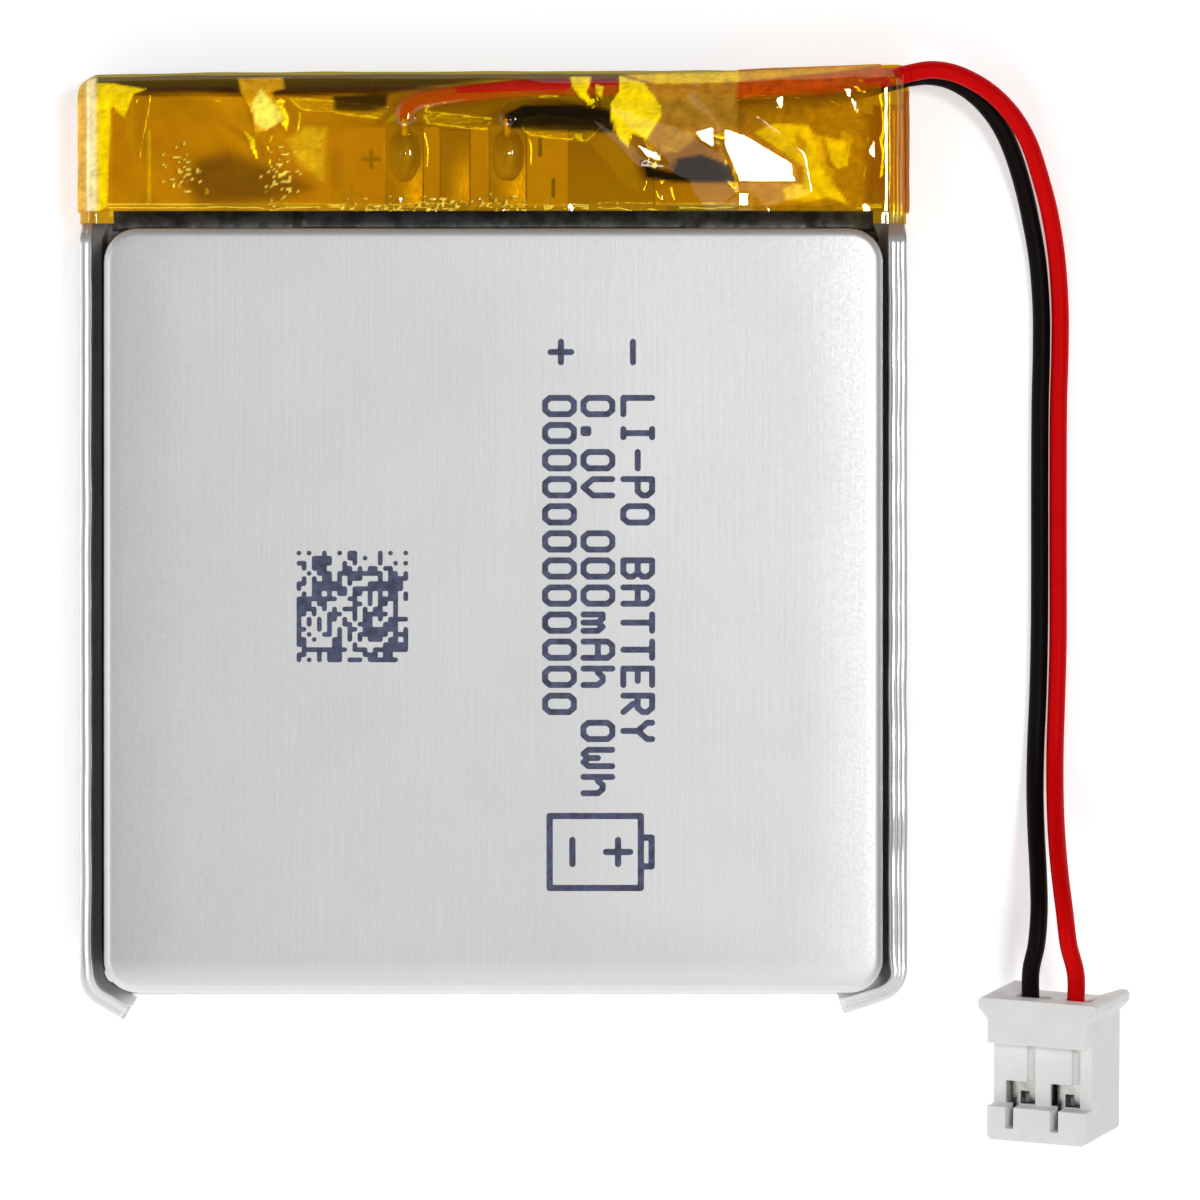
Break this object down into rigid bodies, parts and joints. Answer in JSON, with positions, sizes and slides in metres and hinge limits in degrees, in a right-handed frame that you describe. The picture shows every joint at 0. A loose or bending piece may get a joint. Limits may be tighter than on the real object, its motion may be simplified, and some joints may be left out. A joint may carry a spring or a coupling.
{
  "type": "prismatic battery cell",
  "caption": "Flat rectangular lithium-polymer pouch cell with an amber-taped protection board, red and black leads and a small white two-pole plug.",
  "frame": {"origin": "middle of the pack's footprint on its flat back, without the free leads and the connector", "axes": "+X across the width, +Y along the length towards the taped head, +Z through the thickness, from the flat back to the printed face"},
  "size_m": [0.044, 0.0453, 0.0064],
  "materials": {
    "laminate": "satin aluminium laminate with a clear nylon skin, faint rolling lines, printed in dark ink",
    "separator": "white porous film",
    "anode_coating": "matt graphite coating",
    "cathode_coating": "matt black oxide coating",
    "stop_tape": "green film tape",
    "tab_aluminium": "bright rolled foil",
    "nickel": "rolled nickel strip with spot-weld marks",
    "tab_sealant": "translucent polypropylene film",
    "barley_paper": "thin tan insulating paper",
    "foam": "closed-cell foam",
    "board_laminate": "glass-epoxy board with a brown solder mask and paler printed blocks",
    "chip_package": "moulded epoxy",
    "chip_ceramic": "tan ceramic with tinned ends",
    "gold_pad": "gold-plated copper pad",
    "copper": "tinned copper strands",
    "solder": "bright tin solder",
    "red_insulation": "soft glossy PVC",
    "black_insulation": "soft glossy PVC",
    "amber_tape": "thin glossy amber polyimide film, clear and crinkled",
    "connector_nylon": "natural white nylon with rounded moulded edges",
    "terminal_tin": "bright tinned phosphor bronze"
  },
  "bodies": {
    "root": {"pouch_cup_film": "laminate", "pouch_cover_film": "laminate", "left_side_seam": "laminate", "right_side_seam": "laminate", "inner_separator": "separator", "outer_separator": "separator", "anode_sheet": "anode_coating", "cathode_sheet": "cathode_coating", "roll_stop_tape": "stop_tape", "positive_tab": "tab_aluminium", "negative_tab": "nickel", "positive_tab_film": "tab_sealant", "negative_tab_film": "tab_sealant", "terrace_insulator": "barley_paper", "head_insulator": "barley_paper", "foam_pad": "foam", "protection_board": "board_laminate", "protection_ic": "chip_package", "mosfet_pair": "chip_package", "filter_resistor": "chip_package", "sense_resistor": "chip_package", "filter_capacitor": "chip_ceramic", "positive_nickel_strip": "nickel", "negative_nickel_strip": "nickel", "positive_output_pad": "gold_pad", "negative_output_pad": "gold_pad", "test_pad": "gold_pad", "red_conductor_soldered": "copper", "black_conductor_soldered": "copper", "positive_solder_joint": "solder", "negative_solder_joint": "solder", "red_wire_held": "red_insulation", "black_wire_held": "black_insulation", "outer_tape_wrap": "amber_tape", "inner_tape_wrap": "amber_tape", "connector_housing": "connector_nylon", "positive_crimp_terminal": "terminal_tin", "negative_crimp_terminal": "terminal_tin", "red_conductor_crimped": "copper", "black_conductor_crimped": "copper", "red_wire": "red_insulation", "black_wire": "black_insulation"}
  },
  "joints": []
}
